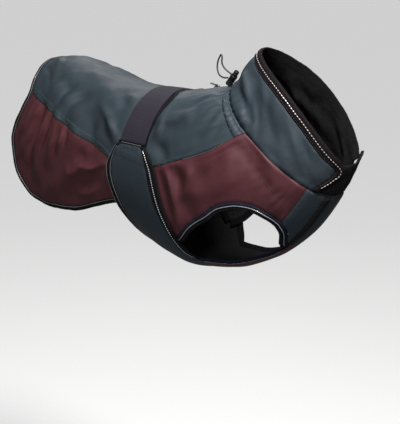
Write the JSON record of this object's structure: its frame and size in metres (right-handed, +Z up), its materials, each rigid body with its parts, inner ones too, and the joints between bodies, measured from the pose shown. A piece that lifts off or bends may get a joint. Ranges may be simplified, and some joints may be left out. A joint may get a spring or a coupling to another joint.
{
  "type": "dog winter coat",
  "caption": "Softshell dog winter coat in its worn form, with a stand-up collar, belly flap on an elastic back strap, armholes, drawcord and a zipped lead slot.",
  "frame": {"origin": "on the inner face of the back panel, on its midline under the elastic strap, where the coat rests on the wearer's back", "axes": "+X from tail to neck along the wearer's back, +Z up, -Y the side of the collar's overlapping end"},
  "size_m": [0.6527, 0.2067, 0.3563],
  "materials": {
    "slate_cloth": "smooth, slightly shiny outer cloth",
    "burgundy_cloth": "smooth, slightly shiny outer cloth",
    "black_binding": "matt folded binding",
    "navy_binding": "matt folded binding",
    "elastic": "fine ribbed elastic webbing",
    "lining": "matt soft lining",
    "cord": "smooth elastic cord",
    "plastic": "satin moulded plastic",
    "metal": "dark satin enamel"
  },
  "bodies": {
    "coat": {"armhole_binding_far": "navy_binding", "armhole_binding_near": "navy_binding", "back_panel": "slate_cloth", "back_strap": "elastic", "belly_flap": "slate_cloth", "chest_closure": "black_binding", "chest_far": "slate_cloth", "chest_near": "slate_cloth", "collar": "slate_cloth", "collar_binding": "black_binding", "collar_closing_end": "lining", "collar_lining": "lining", "cord_lock": "plastic", "cord_lock_button": "plastic", "drawcord": "cord", "flap_binding_front_far": "black_binding", "flap_binding_front_near": "black_binding", "flap_binding_rear": "black_binding", "flap_binding_top_far": "black_binding", "flap_binding_top_near": "black_binding", "hem_binding": "black_binding", "neck_casing": "slate_cloth", "side_front_far": "burgundy_cloth", "side_front_near": "burgundy_cloth", "side_rear_far": "burgundy_cloth", "side_rear_near": "burgundy_cloth", "under_chest": "burgundy_cloth", "under_chest_binding_far": "navy_binding", "under_chest_binding_near": "navy_binding", "zip_slider": "metal", "zip_tape": "black_binding", "zip_teeth": "plastic"},
    "pull": {"zip_pull": "metal"}
  },
  "joints": [
    {"name": "pull_hinge", "type": "hinge", "parent": "coat", "child": "pull", "pos_m": [0.09671, 0, 0.01489], "axis": [0, 1, 0], "range_deg": [-20, 150]}
  ]
}
